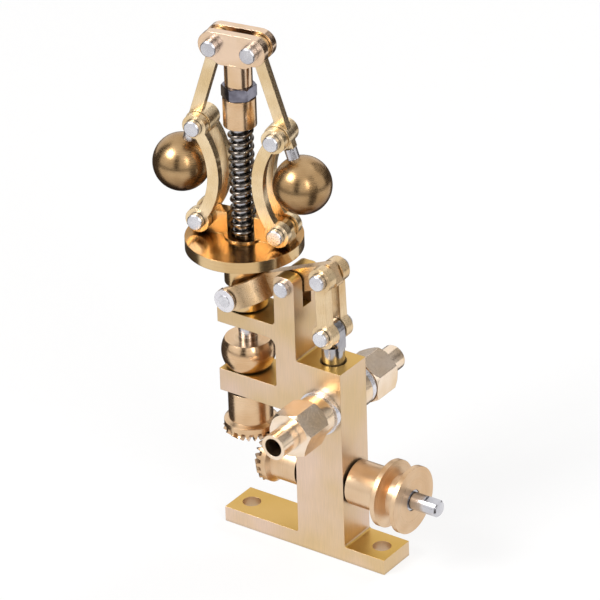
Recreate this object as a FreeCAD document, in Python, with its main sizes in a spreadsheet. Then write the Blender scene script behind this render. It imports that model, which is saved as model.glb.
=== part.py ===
import FreeCAD, Part
import math
import os
import Sketcher

# Flyball governor for a small steam engine. Millimetres, +Z up. The origin lies on
# the underside of the foot, half-way between its two bolt holes. +X points along the
# foot towards the belt pulley, and -Y is the side of the front pipe union.

doc = FreeCAD.newDocument("flyball_governor")
sheet = doc.addObject("Spreadsheet::Sheet", "Sizes")

SIZES = [
    ("running_clearance", 0.05, "radial gap of every running fit"),
    ("side_clearance", 0.1, "gap between flat faces that slide"),
    ("end_clearance", 0.3, "gap under a turning collar or sleeve"),
    ("link_clearance", 0.35, "radial gap where a linkage is left loose"),
    ("pin_diameter", 3.0, "hinge pins"),
    ("pin_shank_diameter", 2.3, "headed pins inside loose links"),
    ("pin_chamfer", 0.18, "broken edge of a pin"),
    ("foot_length", 35.0, "along X"),
    ("foot_thickness", 3.0, ""),
    ("plate_depth", 8.0, "frame plate along Y"),
    ("foot_hole_spacing", 28.7, ""),
    ("foot_hole_diameter", 3.4, ""),
    ("block_left", 1.2, "valve block, left of the origin"),
    ("block_right", 8.95, "valve block, right of the origin"),
    ("block_top", 38.6, ""),
    ("column_left", 4.95, "left of the origin"),
    ("column_width", 4.4, ""),
    ("column_top", 54.9, ""),
    ("bracket_reach", 17.5, "bearing arms, left of the origin"),
    ("upper_bracket_top", 44.6, ""),
    ("upper_bracket_thickness", 2.8, ""),
    ("lower_bracket_top", 32.15, ""),
    ("lower_bracket_thickness", 4.45, ""),
    ("bracket_top_fillet", 0.9, ""),
    ("bracket_root_fillet", 1.6, ""),
    ("small_fillet", 0.5, "other inner corners"),
    ("column_crown_fillet", 1.4, ""),
    ("fork_width", 2.6, "slot for the lever"),
    ("fork_floor", 48.35, ""),
    ("spindle_offset", 13.8, "spindle axis, left of the origin"),
    ("spindle_diameter", 3.5, "in the bearings"),
    ("spindle_neck_diameter", 3.0, "above the bearings"),
    ("spindle_thread_depth", 3.0, "into the crosshead"),
    ("head_turn", 9.5, "rest angle of the spinning head about the spindle"),
    ("gear_teeth", 20, "both mitre gears"),
    ("gear_module", 0.48, ""),
    ("gear_face", 2.0, "tooth length along the cone"),
    ("gear_backlash", 0.05, ""),
    ("gear_rim_diameter", 9.8, ""),
    ("gear_rim_length", 1.5, ""),
    ("gear_rim_slope", 0.5, "rise of the shoulder behind the rim"),
    ("gear_hub_diameter", 8.1, ""),
    ("shaft_height", 14.92, "drive shaft axis"),
    ("shaft_diameter", 4.0, "in its bearing, gear and pulley"),
    ("shaft_end_diameter", 3.2, "outside the pulley"),
    ("shaft_shoulder_inset", 0.15, "inside the pulley's face"),
    ("shaft_reach", 27.07, "free end, right of the origin"),
    ("shaft_flat_depth", 0.3, ""),
    ("shaft_flat_length", 2.8, ""),
    ("shaft_chamfer", 0.3, ""),
    ("thrust_washer_thickness", 0.35, ""),
    ("thrust_washer_diameter", 6.6, ""),
    ("pulley_hub_diameter", 8.4, ""),
    ("pulley_hub_length", 6.8, ""),
    ("pulley_rim_diameter", 12.6, ""),
    ("pulley_rim_width", 5.2, ""),
    ("pulley_flange", 0.95, "flange thickness"),
    ("pulley_groove_diameter", 8.0, ""),
    ("pulley_groove_floor", 1.5, "flat width at the groove's bottom"),
    ("barrel_radius", 4.95, ""),
    ("barrel_centre", 2.85, "above the barrel's lower face"),
    ("barrel_length", 5.4, ""),
    ("valve_offset", 4.8, "valve axis, right of the origin"),
    ("plunger_diameter", 4.2, ""),
    ("plunger_foot", 32.1, "lower end of the plunger"),
    ("plunger_shoulder_gap", 0.47, "shoulder under the drop links' eyes"),
    ("plunger_tongue", 2.0, "tongue thickness"),
    ("valve_bore_floor", 22.5, ""),
    ("valve_mouth_diameter", 4.9, "countersink"),
    ("port_height", 30.1, ""),
    ("port_diameter", 3.0, "passage across the block"),
    ("port_seat_diameter", 5.0, "threaded seat of a union"),
    ("port_seat_depth", 1.6, ""),
    ("union_bore_diameter", 3.45, ""),
    ("union_neck_diameter", 4.8, ""),
    ("union_neck_length", 4.7, ""),
    ("union_hex_flats", 8.0, ""),
    ("union_hex_length", 6.4, ""),
    ("union_collar_diameter", 7.6, ""),
    ("union_collar_length", 2.8, "front union"),
    ("rear_union_collar_length", 0.2, ""),
    ("union_hex_chamfer", 0.55, ""),
    ("seal_ring_thickness", 1.1, ""),
    ("seal_ring_diameter", 8.3, ""),
    ("rear_collar_length", 2.4, ""),
    ("rear_collar_diameter", 8.0, ""),
    ("rear_ring_thickness", 1.2, ""),
    ("rear_ring_diameter", 7.8, ""),
    ("sleeve_disc_diameter", 21.3, ""),
    ("sleeve_disc_bottom", 56.45, ""),
    ("sleeve_disc_thickness", 2.15, ""),
    ("sleeve_step_diameter", 7.28, ""),
    ("sleeve_step_height", 0.3, ""),
    ("sleeve_neck_diameter", 7.7, ""),
    ("groove_root_diameter", 5.8, ""),
    ("groove_side_gap", 0.25, "beside a yoke pin"),
    ("lug_inner_radius", 2.65, "lug's start from the spindle axis"),
    ("lug_thickness", 2.6, ""),
    ("sleeve_pin_radius", 7.8, "from the spindle axis"),
    ("sleeve_pin_height", 61.3, ""),
    ("lug_eye_radius", 1.8, ""),
    ("head_pin_length", 8.2, ""),
    ("spring_wire", 0.75, ""),
    ("spring_diameter", 4.7, "outside"),
    ("spring_turns", 13.6, ""),
    ("spring_collar_bottom", 80.65, ""),
    ("spring_collar_length", 5.45, ""),
    ("spring_collar_diameter", 6.0, ""),
    ("nut_flats", 5.5, ""),
    ("nut_thickness", 2.4, ""),
    ("nut_chamfer", 0.3, ""),
    ("stem_diameter", 5.0, ""),
    ("stem_length", 4.3, ""),
    ("crosshead_pin_offset", 3.76, "arm pins from the spindle axis"),
    ("crosshead_pin_rise", 3.4, "arm pins above the stem"),
    ("crosshead_radius", 2.7, "rounded ends"),
    ("crosshead_depth", 4.8, ""),
    ("crosshead_floor", 0.2, "slot floor above the stem"),
    ("arm_thickness", 1.5, ""),
    ("arm_width", 2.15, ""),
    ("arm_lean", 17.65, "from the vertical at rest"),
    ("arm_length", 19.3, "arm pin to the end of the bar"),
    ("arm_eye_radius", 2.2, ""),
    ("arm_joint_along", 16.77, "link pin along the arm"),
    ("arm_joint_inset", 1.23, "link pin inside the arm's middle line"),
    ("arm_boss_radius", 2.5, ""),
    ("stud_diameter", 2.3, ""),
    ("stud_depth", 3.2, "inside the ball"),
    ("ball_distance", 26.52, "arm pin to ball centre"),
    ("ball_diameter", 10.6, ""),
    ("link_width", 2.2, ""),
    ("link_thickness", 1.5, ""),
    ("link_eye_radius", 2.3, ""),
    ("link_bow", 3.4, "rise of the curved link's middle"),
    ("lever_height", 4.4, "blade"),
    ("lever_thickness", 2.0, ""),
    ("lever_tilt", 22.7, "rest angle"),
    ("lever_pivot_height", 52.83, ""),
    ("lever_long_arm", 12.0, "pivot to yoke pins"),
    ("lever_short_arm", 7.76, "pivot to link pin"),
    ("lever_end", 1.8, "blade beyond the link pin"),
    ("lever_end_fillet", 0.6, ""),
    ("pivot_pin_length", 10.4, ""),
    ("yoke_outer_radius", 6.3, ""),
    ("yoke_inner_radius", 5.4, ""),
    ("yoke_pin_diameter", 2.2, ""),
    ("yoke_pin_tip_gap", 0.35, "pin to the groove's root"),
    ("yoke_pin_stand", 0.55, "pin outside the yoke"),
    ("yoke_washer_diameter", 4.3, ""),
    ("yoke_washer_thickness", 0.45, ""),
    ("oil_hole_diameter", 0.8, ""),
    ("oil_hole_rise", 1.45, "above the yoke pin"),
    ("drop_link_drop", 11.16, "upper to lower pin, vertical"),
    ("drop_link_thickness", 2.0, ""),
    ("drop_link_width", 2.24, ""),
    ("drop_pin_length", 8.6, ""),
]

for row, (alias, number, note) in enumerate(SIZES, 1):
    sheet.set(f"A{row}", note)
    sheet.set(f"B{row}", str(number))
    sheet.setAlias(f"B{row}", alias)
doc.recompute()


class Size:
    """A number together with the sheet formula that gives it."""

    def __init__(self, value, text):
        self.value = float(value)
        self.text = text

    def __add__(self, other):
        other = size(other)
        return Size(self.value + other.value, f"({self.text} + {other.text})")

    def __sub__(self, other):
        other = size(other)
        return Size(self.value - other.value, f"({self.text} - {other.text})")

    def __mul__(self, other):
        other = size(other)
        return Size(self.value * other.value, f"({self.text} * {other.text})")

    def __truediv__(self, other):
        other = size(other)
        return Size(self.value / other.value, f"({self.text} / {other.text})")

    def __radd__(self, other):
        return size(other) + self

    def __rsub__(self, other):
        return size(other) - self

    def __rmul__(self, other):
        return size(other) * self

    def __neg__(self):
        return Size(-self.value, f"(0 - {self.text})")


def size(number):
    return number if isinstance(number, Size) else Size(number, repr(float(number)))


def sine(angle):
    return Size(math.sin(math.radians(angle.value)), f"sin({angle.text} * 1 deg)")


def cosine(angle):
    return Size(math.cos(math.radians(angle.value)), f"cos({angle.text} * 1 deg)")


def root(number):
    return Size(math.sqrt(number.value), f"sqrt({number.text})")


class Sheet:
    """Every sheet alias as a Size."""

    def __init__(self):
        for alias, number, note in SIZES:
            setattr(self, alias, Size(number, f"Sizes.{alias}"))


d = Sheet()
nodes = []


def new_body(label):
    body = doc.addObject("PartDesign::Body", label)
    body.Label = label
    nodes.append(body)
    return body


def new_sketch(body, role, lift=0):
    """A sketch on one of the body's own origin planes, lifted along its normal."""
    plane = [item for item in body.Origin.OriginFeatures if item.Role == role][0]
    drawing = body.newObject("Sketcher::SketchObject", f"{body.Label}_sketch")
    drawing.AttachmentSupport = [(plane, "")]
    drawing.MapMode = "FlatFace"
    lift = size(lift)
    drawing.AttachmentOffset = FreeCAD.Placement(FreeCAD.Vector(0, 0, lift.value), FreeCAD.Rotation())
    drawing.setExpression("AttachmentOffset.Base.z", lift.text)
    return drawing


def bind(drawing, kind, places, number):
    """A dimension of a sketch, driven by a Size."""
    number = size(number)
    index = drawing.addConstraint(Sketcher.Constraint(kind, *places, number.value))
    drawing.setExpression(f"Constraints[{index}]", number.text)


def circle(drawing, x, y, radius):
    x, y, radius = size(x), size(y), size(radius)
    centre = FreeCAD.Vector(x.value, y.value, 0)
    curve = drawing.addGeometry(Part.Circle(centre, FreeCAD.Vector(0, 0, 1), radius.value), False)
    bind(drawing, "Radius", (curve,), radius)
    bind(drawing, "DistanceX", (-1, 1, curve, 3), x)
    bind(drawing, "DistanceY", (-1, 1, curve, 3), y)


def outline(drawing, corners):
    """A closed chain of straight lines through (x, y) corners."""
    corners = [(size(x), size(y)) for x, y in corners]
    points = [FreeCAD.Vector(x.value, y.value, 0) for x, y in corners]
    lines = []
    for index, point in enumerate(points):
        following = points[(index + 1) % len(points)]
        lines.append(drawing.addGeometry(Part.LineSegment(point, following), False))
    for index, line in enumerate(lines):
        following = lines[(index + 1) % len(lines)]
        drawing.addConstraint(Sketcher.Constraint("Coincident", line, 2, following, 1))
    for line, (x, y) in zip(lines, corners):
        bind(drawing, "DistanceX", (-1, 1, line, 1), x)
        bind(drawing, "DistanceY", (-1, 1, line, 1), y)


def box_outline(drawing, left, right, low, high):
    outline(drawing, [(left, low), (right, low), (right, high), (left, high)])


def pad(body, drawing, length, both_ways=False, backwards=False):
    feature = body.newObject("PartDesign::Pad", f"{body.Label}_pad")
    feature.Profile = drawing
    feature.SideType = "Symmetric" if both_ways else "One side"
    feature.Reversed = backwards
    length = size(length)
    feature.Length = length.value
    feature.setExpression("Length", length.text)
    drawing.Visibility = False
    return feature


def pocket(body, drawing, length=None, both_ways=False, backwards=False):
    """A cut against the sketch's normal; with no length it runs through all."""
    feature = body.newObject("PartDesign::Pocket", f"{body.Label}_pocket")
    feature.Profile = drawing
    feature.SideType = "Symmetric" if both_ways else "One side"
    feature.Reversed = backwards
    if length is None:
        feature.Type = "ThroughAll"
    else:
        length = size(length)
        feature.Length = length.value
        feature.setExpression("Length", length.text)
    return feature


def turn(body, drawing, axis, groove=False):
    """A full revolution of a sketch about one of its own axes."""
    kind = "Groove" if groove else "Revolution"
    feature = body.newObject(f"PartDesign::{kind}", f"{body.Label}_{kind.lower()}")
    feature.Profile = drawing
    feature.ReferenceAxis = (drawing, [axis])
    feature.Angle = 360
    return feature


def edge_names(shape, wanted):
    """Names of the edges whose middle point and length satisfy a test."""
    names = []
    for index, edge in enumerate(shape.Edges, 1):
        middle = edge.valueAt((edge.FirstParameter + edge.LastParameter) / 2)
        if wanted(edge, middle):
            names.append(f"Edge{index}")
    return names


def dress(body, kind, wanted, amount):
    """A fillet or chamfer of one size on the chosen edges of the body's tip."""
    doc.recompute()
    base = body.Tip
    names = edge_names(base.Shape, wanted)
    amount = size(amount)
    feature = body.newObject(f"PartDesign::{kind}", f"{body.Label}_{kind.lower()}")
    feature.Base = (base, names)
    key = "Radius" if kind == "Fillet" else "Size"
    setattr(feature, key, amount.value)
    feature.setExpression(key, amount.text)
    return feature


def on_line(x, z):
    """A test for straight edges that run along Y through (x, z)."""
    x, z = size(x).value, size(z).value

    def test(edge, middle):
        flat = abs(edge.BoundBox.XLength) < 1e-6 and abs(edge.BoundBox.ZLength) < 1e-6
        return flat and abs(middle.x - x) < 1e-4 and abs(middle.z - z) < 1e-4

    return test


def any_of(*tests):
    return lambda edge, middle: any(test(edge, middle) for test in tests)


def place(piece, x=0, y=0, z=0, axis=(0, 0, 1), angle=0):
    x, y, z, angle = size(x), size(y), size(z), size(angle)
    turned = FreeCAD.Rotation(FreeCAD.Vector(*axis), angle.value)
    piece.Placement = FreeCAD.Placement(FreeCAD.Vector(x.value, y.value, z.value), turned)
    piece.setExpression("Placement.Base.x", x.text)
    piece.setExpression("Placement.Base.y", y.text)
    piece.setExpression("Placement.Base.z", z.text)
    if angle.value:
        piece.setExpression("Placement.Rotation.Angle", f"{angle.text} * 1 deg")


def place_on_head(piece, left=False):
    """Stands a piece drawn about the spindle axis at the head's rest angle."""
    place(piece, x=-d.spindle_offset, angle=d.head_turn + (180 if left else 0))


pin_radius = d.pin_diameter / 2
shank_radius = d.pin_shank_diameter / 2
running_radius = pin_radius + d.running_clearance

# Frame plate: foot, valve block, column and the two bearing arms in one piece,
# sawn from plate, with rounded inner corners.
frame = new_body("frame")
half_foot = d.foot_length / 2
upper_bracket_bottom = d.upper_bracket_top - d.upper_bracket_thickness
lower_bracket_bottom = d.lower_bracket_top - d.lower_bracket_thickness
column_right = d.column_width - d.column_left
column_centre = column_right - d.column_width / 2
side_view = new_sketch(frame, "XZ_Plane")
outline(side_view, [
    (-half_foot, 0),
    (half_foot, 0),
    (half_foot, d.foot_thickness),
    (d.block_right, d.foot_thickness),
    (d.block_right, d.block_top),
    (column_right, d.block_top),
    (column_right, d.column_top),
    (-d.column_left, d.column_top),
    (-d.column_left, d.upper_bracket_top),
    (-d.bracket_reach, d.upper_bracket_top),
    (-d.bracket_reach, upper_bracket_bottom),
    (-d.column_left, upper_bracket_bottom),
    (-d.column_left, d.lower_bracket_top),
    (-d.bracket_reach, d.lower_bracket_top),
    (-d.bracket_reach, lower_bracket_bottom),
    (-d.block_left, lower_bracket_bottom),
    (-d.block_left, d.foot_thickness),
    (-half_foot, d.foot_thickness),
])
pad(frame, side_view, d.plate_depth, both_ways=True)
dress(frame, "Fillet", any_of(
    on_line(-d.column_left, d.column_top),
    on_line(column_right, d.column_top),
), d.column_crown_fillet)
dress(frame, "Fillet", on_line(-d.column_left, d.upper_bracket_top), d.bracket_top_fillet)
dress(frame, "Fillet", on_line(-d.column_left, upper_bracket_bottom), d.bracket_root_fillet)
dress(frame, "Fillet", any_of(
    on_line(column_right, d.block_top),
    on_line(-d.column_left, d.lower_bracket_top),
    on_line(-d.block_left, lower_bracket_bottom),
    on_line(-d.block_left, d.foot_thickness),
    on_line(d.block_right, d.foot_thickness),
), d.small_fillet)

foot_holes = new_sketch(frame, "XY_Plane")
for side in (-1, 1):
    circle(foot_holes, side * d.foot_hole_spacing / 2, 0, d.foot_hole_diameter / 2)
pocket(frame, foot_holes, d.foot_thickness, backwards=True)

spindle_holes = new_sketch(frame, "XY_Plane", d.upper_bracket_top)
circle(spindle_holes, -d.spindle_offset, 0, d.spindle_diameter / 2 + d.running_clearance)
pocket(frame, spindle_holes, d.upper_bracket_top - lower_bracket_bottom)

fork = new_sketch(frame, "XY_Plane", d.column_top)
box_outline(fork, -d.column_left - 1, column_right + 1, -d.fork_width / 2, d.fork_width / 2)
pocket(frame, fork, d.column_top - d.fork_floor)

pivot_hole = new_sketch(frame, "XZ_Plane")
circle(pivot_hole, column_centre, d.lever_pivot_height, pin_radius)
pocket(frame, pivot_hole, both_ways=True)

shaft_hole = new_sketch(frame, "YZ_Plane", d.block_right)
circle(shaft_hole, 0, d.shaft_height, d.shaft_diameter / 2 + d.running_clearance)
pocket(frame, shaft_hole, d.block_right + d.block_left)

valve_bore = new_sketch(frame, "XY_Plane", d.block_top)
circle(valve_bore, d.valve_offset, 0, d.plunger_diameter / 2 + d.running_clearance)
pocket(frame, valve_bore, d.block_top - d.valve_bore_floor)

passage = new_sketch(frame, "XZ_Plane")
circle(passage, d.valve_offset, d.port_height, d.port_diameter / 2)
pocket(frame, passage, both_ways=True)

for side in (1, -1):
    seat = new_sketch(frame, "XZ_Plane", side * d.plate_depth / 2)
    circle(seat, d.valve_offset, d.port_height, d.port_seat_diameter / 2)
    pocket(frame, seat, d.port_seat_depth, backwards=side < 0)

bore_top = d.plunger_diameter / 2 + d.running_clearance


def valve_mouth(edge, middle):
    round_edge = abs(edge.BoundBox.ZLength) < 1e-6 and abs(middle.z - d.block_top.value) < 1e-4
    return round_edge and abs(math.hypot(middle.x - d.valve_offset.value, middle.y) - bore_top.value) < 1e-3


dress(frame, "Chamfer", valve_mouth, d.valve_mouth_diameter / 2 - bore_top)


def pin(label, x, z, length, diameter=None, head_grip=None, centre=0):
    """A pin along Y. With head_grip it is a thin shank between two heads."""
    body = new_body(label)
    radius = (diameter or d.pin_diameter) / 2
    shank = new_sketch(body, "XZ_Plane", -size(centre))
    circle(shank, x, z, radius if head_grip is None else shank_radius)
    pad(body, shank, length, both_ways=True)
    if head_grip is not None:
        for side in (1, -1):
            head = new_sketch(body, "XZ_Plane", side * size(head_grip) / 2)
            circle(head, x, z, radius)
            pad(body, head, (size(length) - head_grip) / 2, backwards=side < 0)
    limit = size(length).value / 2 - 1e-4
    middle_y = size(centre).value

    def at_an_end(edge, middle):
        round_edge = abs(edge.BoundBox.YLength) < 1e-6 and edge.Length > 1e-3
        return round_edge and abs(middle.y - middle_y) > limit

    dress(body, "Chamfer", at_an_end, d.pin_chamfer)
    return body


pin("lever_pivot_pin", column_centre, d.lever_pivot_height, d.pivot_pin_length)


def ring(label, inner, outer, thickness, start, axis):
    """A flat ring about the X or Y axis of the part, standing at the given start."""
    body = new_body(label)
    drawing = new_sketch(body, {"X": "YZ_Plane", "Y": "XZ_Plane"}[axis], start)
    for radius in (inner, outer):
        circle(drawing, 0, 0, radius)
    pad(body, drawing, thickness)
    return body


# Mitre gears: equal bevel gears with the apex of both pitch cones where the spindle
# axis meets the shaft axis. Each tooth gap converges on the apex.
pitch_radius = d.gear_teeth * d.gear_module / 2
cone_length = pitch_radius * math.sqrt(2)
small_end = 1 - d.gear_face / cone_length
slant = 1 / math.sqrt(2)
tip_offset = d.gear_module * slant
foot_offset = 1.25 * d.gear_module * slant


def half_gap_angle(outwards):
    """Half the angle of a tooth gap at a height above the pitch cone, from the involute."""
    module, teeth = d.gear_module.value, d.gear_teeth.value
    turned = teeth * math.sqrt(2)
    pitch = module * turned / 2
    base = pitch * math.cos(math.radians(20))
    radius = max(pitch + outwards, base)
    pressure = math.acos(base / radius)
    lead = math.tan(math.radians(20)) - math.radians(20)
    slack = d.gear_backlash.value
    tooth = radius * ((math.pi * module / 2 - slack) / pitch + 2 * (lead - math.tan(pressure) + pressure))
    cone = math.radians(45) + outwards / cone_length.value
    ring_radius = cone_length.value * math.sin(cone)
    return 180 / teeth - math.degrees(tooth / 2 / ring_radius)


def gear(label, bore, back_length, phase):
    """A bevel gear with its apex at the body's origin and its hub along +Z."""
    body = new_body(label)
    tip = (pitch_radius + tip_offset, pitch_radius - tip_offset)
    foot = (pitch_radius - foot_offset, pitch_radius + foot_offset)
    front = small_end * foot[1]
    rim_radius = d.gear_rim_diameter / 2
    rim_start = tip[0] + tip[1] - rim_radius
    rim_end = rim_start + d.gear_rim_length
    blank = new_sketch(body, "XZ_Plane")
    outline(blank, [
        (bore, front),
        (small_end * foot[0], front),
        (small_end * tip[0], small_end * tip[1]),
        tip,
        (rim_radius, rim_start),
        (rim_radius, rim_end),
        (d.gear_hub_diameter / 2, rim_end + d.gear_rim_slope),
        (d.gear_hub_diameter / 2, back_length),
        (bore, back_length),
    ])
    turn(body, blank, "V_Axis")
    root_ratio = foot[0].value / foot[1].value
    module = d.gear_module.value
    levels = (-1.25 * module, -0.6 * module, 0, 0.55 * module, 1.5 * module)
    ratios = [root_ratio] + [
        math.tan(math.radians(45) + level / cone_length.value) for level in levels[1:]
    ]
    halves = [half_gap_angle(level) for level in levels]
    cuts = []
    for height in (rim_start + 0.55, front - 0.6):
        drawing = new_sketch(body, "XY_Plane", height)
        corners = []
        for sign in (-1, 1):
            flank = [(ratio, phase + sign * half) for ratio, half in zip(ratios, halves)]
            corners += flank[::sign]
        outline(drawing, [
            (height * ratio * math.cos(math.radians(angle)), height * ratio * math.sin(math.radians(angle)))
            for ratio, angle in corners
        ])
        cuts.append(drawing)
    gap = body.newObject("PartDesign::SubtractiveLoft", f"{label}_gap")
    gap.Profile = cuts[0]
    gap.Sections = [cuts[1]]
    gap.Ruled = True
    row = body.newObject("PartDesign::PolarPattern", f"{label}_gaps")
    row.Originals = [gap]
    axis = [item for item in body.Origin.OriginFeatures if item.Role == "Z_Axis"][0]
    row.Axis = (axis, [""])
    row.Angle = 360
    row.setExpression("Occurrences", "Sizes.gear_teeth")
    body.Tip = row
    return body


half_pitch = 180 / d.gear_teeth.value
spindle_gear = gear(
    "spindle_gear", d.spindle_diameter / 2,
    lower_bracket_bottom - d.end_clearance - d.shaft_height, 0)
place(spindle_gear, x=-d.spindle_offset, z=d.shaft_height)
washer_seat = -d.block_left - d.thrust_washer_thickness
drive_gear = gear(
    "drive_gear", d.shaft_diameter / 2,
    d.spindle_offset + washer_seat - d.side_clearance, half_pitch)
place(drive_gear, x=-d.spindle_offset, z=d.shaft_height, axis=(0, 1, 0), angle=90)

gear_front = small_end * (pitch_radius + foot_offset)

# Drive shaft, turned down outside the pulley, with a flat on its free end, and the two thin thrust washers that
# keep the gear hub and the pulley hub off the block.
washer_bore = d.shaft_diameter / 2 + d.running_clearance
for label, start in (("inner_thrust_washer", washer_seat), ("outer_thrust_washer", d.block_right)):
    washer = ring(label, washer_bore, d.thrust_washer_diameter / 2, d.thrust_washer_thickness, start, "X")
    place(washer, z=d.shaft_height)

hub_start = d.block_right + d.thrust_washer_thickness + d.side_clearance
rim_start = hub_start + d.pulley_hub_length
rim_end = rim_start + d.pulley_rim_width
drive_shaft = new_body("drive_shaft")
shaft_start = gear_front - d.spindle_offset
shoulder = rim_end - d.shaft_shoulder_inset
shaft_circle = new_sketch(drive_shaft, "YZ_Plane", shaft_start)
circle(shaft_circle, 0, 0, d.shaft_diameter / 2)
pad(drive_shaft, shaft_circle, shoulder - shaft_start)
shaft_end_circle = new_sketch(drive_shaft, "YZ_Plane", shoulder)
circle(shaft_end_circle, 0, 0, d.shaft_end_diameter / 2)
pad(drive_shaft, shaft_end_circle, d.shaft_reach - shoulder)
dress(
    drive_shaft, "Chamfer",
    lambda edge, middle: edge.BoundBox.XLength < 1e-6 and abs(middle.x - d.shaft_reach.value) < 1e-4,
    d.shaft_chamfer)
shaft_flat = new_sketch(drive_shaft, "YZ_Plane", d.shaft_reach)
box_outline(
    shaft_flat, -d.shaft_diameter, d.shaft_diameter,
    d.shaft_end_diameter / 2 - d.shaft_flat_depth, d.shaft_diameter)
pocket(drive_shaft, shaft_flat, d.shaft_flat_length)
place(drive_shaft, z=d.shaft_height)

# Belt pulley: long hub, two thin flanges and a groove with sloping sides.
pulley = new_body("belt_pulley")
rim_radius = d.pulley_rim_diameter / 2
groove_radius = d.pulley_groove_diameter / 2
groove_middle = rim_start + d.pulley_rim_width / 2
pulley_view = new_sketch(pulley, "XZ_Plane")
outline(pulley_view, [
    (hub_start, d.shaft_diameter / 2),
    (rim_end, d.shaft_diameter / 2),
    (rim_end, rim_radius),
    (rim_end - d.pulley_flange, rim_radius),
    (groove_middle + d.pulley_groove_floor / 2, groove_radius),
    (groove_middle - d.pulley_groove_floor / 2, groove_radius),
    (rim_start + d.pulley_flange, rim_radius),
    (rim_start, rim_radius),
    (rim_start, d.pulley_hub_diameter / 2),
    (hub_start, d.pulley_hub_diameter / 2),
])
turn(pulley, pulley_view, "H_Axis")
place(pulley, z=d.shaft_height)


def pipe_union(label, shell, collar, seat, towards_back):
    """A pipe union along Y: threaded tail, round collar, hexagon and neck.

    shell is the thickness of the rings between the block and the collar.
    """
    body = new_body(label)
    face = d.plate_depth / 2
    collar_start = face + shell
    hex_start = collar_start + collar
    hex_end = hex_start + d.union_hex_length
    end = hex_end + d.union_neck_length
    hex_radius = d.union_hex_flats / math.sqrt(3)
    bore_radius = d.union_bore_diameter / 2
    profile = new_sketch(body, "XY_Plane")
    side = 1 if towards_back else -1
    outline(profile, [(radius, side * station) for radius, station in (
        (bore_radius, seat),
        (d.port_seat_diameter / 2, seat),
        (d.port_seat_diameter / 2, collar_start),
        (d.union_collar_diameter / 2, collar_start),
        (d.union_collar_diameter / 2, hex_start),
        (hex_radius - d.union_hex_chamfer, hex_start),
        (hex_radius, hex_start + d.union_hex_chamfer),
        (hex_radius, hex_end - d.union_hex_chamfer),
        (hex_radius - d.union_hex_chamfer, hex_end),
        (d.union_neck_diameter / 2, hex_end),
        (d.union_neck_diameter / 2, end),
        (bore_radius, end),
    )])
    turn(body, profile, "V_Axis")
    flats = new_sketch(body, "XZ_Plane", -side * hex_start)
    circle(flats, 0, 0, hex_radius * 1.2)
    tilt = -35 if towards_back else 10
    corners = []
    for step in range(6):
        angle = math.radians(60 * step + tilt)
        corners.append((hex_radius * math.cos(angle), hex_radius * math.sin(angle)))
    outline(flats, corners)
    pocket(body, flats, d.union_hex_length, backwards=not towards_back)
    place(body, x=d.valve_offset, z=d.port_height)
    return body


# Front and rear unions. The rear one stands on a longer spacer.
port_seat = d.plate_depth / 2 - d.port_seat_depth
tail_radius = d.port_seat_diameter / 2
pipe_union("front_union", d.seal_ring_thickness, d.union_collar_length, port_seat, False)
front_ring = ring(
    "front_seal_ring", tail_radius, d.seal_ring_diameter / 2, d.seal_ring_thickness,
    d.plate_depth / 2, "Y")
rear_shell = d.rear_collar_length + d.rear_ring_thickness
pipe_union("rear_union", rear_shell, d.rear_union_collar_length, port_seat, True)
rear_spacer = ring(
    "rear_spacer", tail_radius, d.rear_collar_diameter / 2, d.rear_collar_length,
    -d.plate_depth / 2 - d.rear_collar_length, "Y")
rear_ring = ring(
    "rear_seal_ring", tail_radius, d.rear_ring_diameter / 2, d.rear_ring_thickness,
    -d.plate_depth / 2 - rear_shell, "Y")
for piece in (front_ring, rear_spacer, rear_ring):
    place(piece, x=d.valve_offset, z=d.port_height)

# Spindle: thick in its two bearings, thin above them, with its top screwed into
# the crosshead.
collar_top = d.spring_collar_bottom + d.spring_collar_length
stem_bottom = collar_top + d.nut_thickness
stem_top = stem_bottom + d.stem_length
neck_radius = d.spindle_neck_diameter / 2
spindle_radius = d.spindle_diameter / 2
spindle = new_body("spindle")
spindle_view = new_sketch(spindle, "XZ_Plane")
outline(spindle_view, [
    (0, d.shaft_height + gear_front),
    (spindle_radius, d.shaft_height + gear_front),
    (spindle_radius, d.upper_bracket_top),
    (neck_radius, d.upper_bracket_top),
    (neck_radius, stem_bottom + d.spindle_thread_depth),
    (0, stem_bottom + d.spindle_thread_depth),
])
turn(spindle, spindle_view, "V_Axis")
place_on_head(spindle)

# Barrel collar: a ball cut flat at both ends, pressed on the spindle.
barrel_bottom = d.lower_bracket_top + d.end_clearance
barrel_ball = doc.addObject("Part::Sphere", "barrel_ball")
barrel_ball.setExpression("Radius", d.barrel_radius.text)
barrel_ball.setExpression("Placement.Base.z", (barrel_bottom + d.barrel_centre).text)
barrel_band = doc.addObject("Part::Cylinder", "barrel_band")
barrel_band.setExpression("Radius", (d.barrel_radius * 1.1).text)
barrel_band.setExpression("Height", d.barrel_length.text)
barrel_band.setExpression("Placement.Base.z", barrel_bottom.text)
barrel_core = doc.addObject("Part::Cylinder", "barrel_core")
barrel_core.setExpression("Radius", spindle_radius.text)
barrel_core.setExpression("Height", (d.barrel_length * 2).text)
barrel_core.setExpression("Placement.Base.z", (barrel_bottom - d.barrel_length / 2).text)
barrel_solid = doc.addObject("Part::Common", "barrel_solid")
barrel_solid.Base = barrel_ball
barrel_solid.Tool = barrel_band
barrel = doc.addObject("Part::Cut", "barrel_collar")
barrel.Base = barrel_solid
barrel.Tool = barrel_core
nodes.append(barrel)
place_on_head(barrel)


def round_ring(label, bore, radius, bottom, height):
    body = new_body(label)
    drawing = new_sketch(body, "XY_Plane", bottom)
    circle(drawing, 0, 0, bore)
    circle(drawing, 0, 0, radius)
    pad(body, drawing, height)
    place_on_head(body)
    return body


# Spring collar under the lock nut.
round_ring(
    "spring_collar", neck_radius, d.spring_collar_diameter / 2,
    d.spring_collar_bottom, d.spring_collar_length)

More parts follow.
